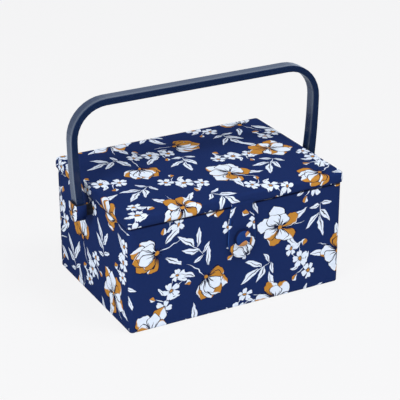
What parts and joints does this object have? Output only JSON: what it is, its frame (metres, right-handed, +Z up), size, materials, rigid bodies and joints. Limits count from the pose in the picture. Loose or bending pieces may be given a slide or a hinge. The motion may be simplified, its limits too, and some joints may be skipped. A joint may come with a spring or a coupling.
{
  "type": "sewing box",
  "caption": "Cloth-covered sewing box with a padded hinged lid, a buttoned closing tab, a swing carrying handle, a lined well and a lift-out notions tray",
  "frame": {"origin": "middle of the flat underside, on the surface the box stands on", "axes": "+Z up, +X to the right of someone facing the front, -Y out of the front with the closing tab"},
  "size_m": [0.3026, 0.193, 0.232],
  "materials": {
    "printed_cloth": "plain-weave cotton, navy ground with a white and ochre floral print",
    "base_cloth": "plain dark navy cloth glued to the underside",
    "lining_cloth": "plain navy cotton lining over card",
    "grey_board": "dense grey board",
    "pad_foam": "thin polyester wadding",
    "cushion_cloth": "ochre cotton, stuffed",
    "elastic": "ribbed flat elastic",
    "tray_plastic": "pale moulded plastic",
    "handle_plastic": "moulded navy plastic, satin",
    "socket_plastic": "moulded dark plastic",
    "bright_steel": "nickel-plated steel"
  },
  "bodies": {
    "box": {"base_cover": "base_cloth", "base_board": "grey_board", "front_board": "grey_board", "back_board": "grey_board", "side_board_left": "grey_board", "side_board_right": "grey_board", "outer_cover": "printed_cloth", "wall_lining": "lining_cloth", "base_lining": "lining_cloth", "ledge_left": "lining_cloth", "ledge_right": "lining_cloth", "tray": "tray_plastic", "wall_magnet": "bright_steel", "hinge_cloth_lower": "lining_cloth", "pivot_pin_left": "bright_steel", "pivot_pin_right": "bright_steel", "pivot_washer_left": "bright_steel", "pivot_washer_right": "bright_steel", "pivot_spacer_left": "socket_plastic", "pivot_spacer_right": "socket_plastic"},
    "lid": {"lid_board": "grey_board", "lid_rim_front": "grey_board", "lid_rim_back": "grey_board", "lid_rim_left": "grey_board", "lid_rim_right": "grey_board", "lid_pad": "pad_foam", "lid_cover": "printed_cloth", "lid_lining": "lining_cloth", "pin_cushion": "cushion_cloth", "thread_elastic": "elastic", "hinge_cloth_upper": "lining_cloth"},
    "tab": {"closure_tab": "printed_cloth", "tab_magnet": "bright_steel", "button_shell": "printed_cloth", "button_back": "bright_steel"},
    "handle": {"handle": "handle_plastic", "handle_socket_left": "socket_plastic", "handle_socket_right": "socket_plastic", "socket_cover_left": "printed_cloth", "socket_cover_right": "printed_cloth"}
  },
  "joints": [
    {"name": "lid_hinge", "type": "hinge", "parent": "box", "child": "lid", "pos_m": [0, 0.0935, 0.12165], "axis": [-1, 0, 0], "range_deg": [0, 100]},
    {"name": "tab_hinge", "type": "hinge", "parent": "lid", "child": "tab", "pos_m": [0.003, -0.0946, 0.1215], "axis": [-1, 0, 0], "range_deg": [0, 90]},
    {"name": "handle_pivot", "type": "hinge", "parent": "box", "child": "handle", "pos_m": [0, 0, 0.108], "axis": [-1, 0, 0], "range_deg": [0, 118]}
  ],
  "couplings": [
    {"joint": "handle_pivot", "follows": "lid_hinge", "ratio": 1.18}
  ]
}
